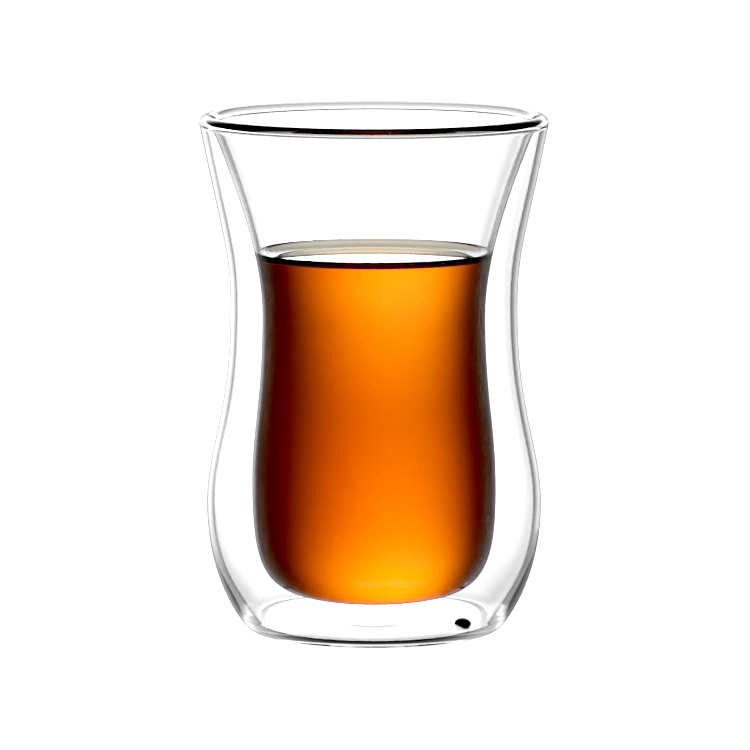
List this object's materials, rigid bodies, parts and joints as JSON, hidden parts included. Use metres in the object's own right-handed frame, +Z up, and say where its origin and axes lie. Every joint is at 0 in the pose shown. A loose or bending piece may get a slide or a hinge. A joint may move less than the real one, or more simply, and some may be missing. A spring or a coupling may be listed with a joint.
{
  "type": "turkish tea glass",
  "caption": "Tulip-waisted, double-walled drinking glass filled with clear amber tea, standing on its flat base.",
  "frame": {"origin": "middle of the base, on the surface that the glass stands on", "axes": "+Z up along the glass's axis; -Y towards the viewer; the vent plug lies on the +X side of the base"},
  "size_m": [0.0604, 0.0604, 0.09],
  "materials": {
    "clear_glass": "clear blown borosilicate glass, fire-polished",
    "tea": "clear liquid, amber to red-brown black tea",
    "plug_rubber": "dark silicone rubber, satin"
  },
  "bodies": {
    "root": {"glass": "clear_glass", "tea": "tea", "vent_plug": "plug_rubber"}
  },
  "joints": []
}
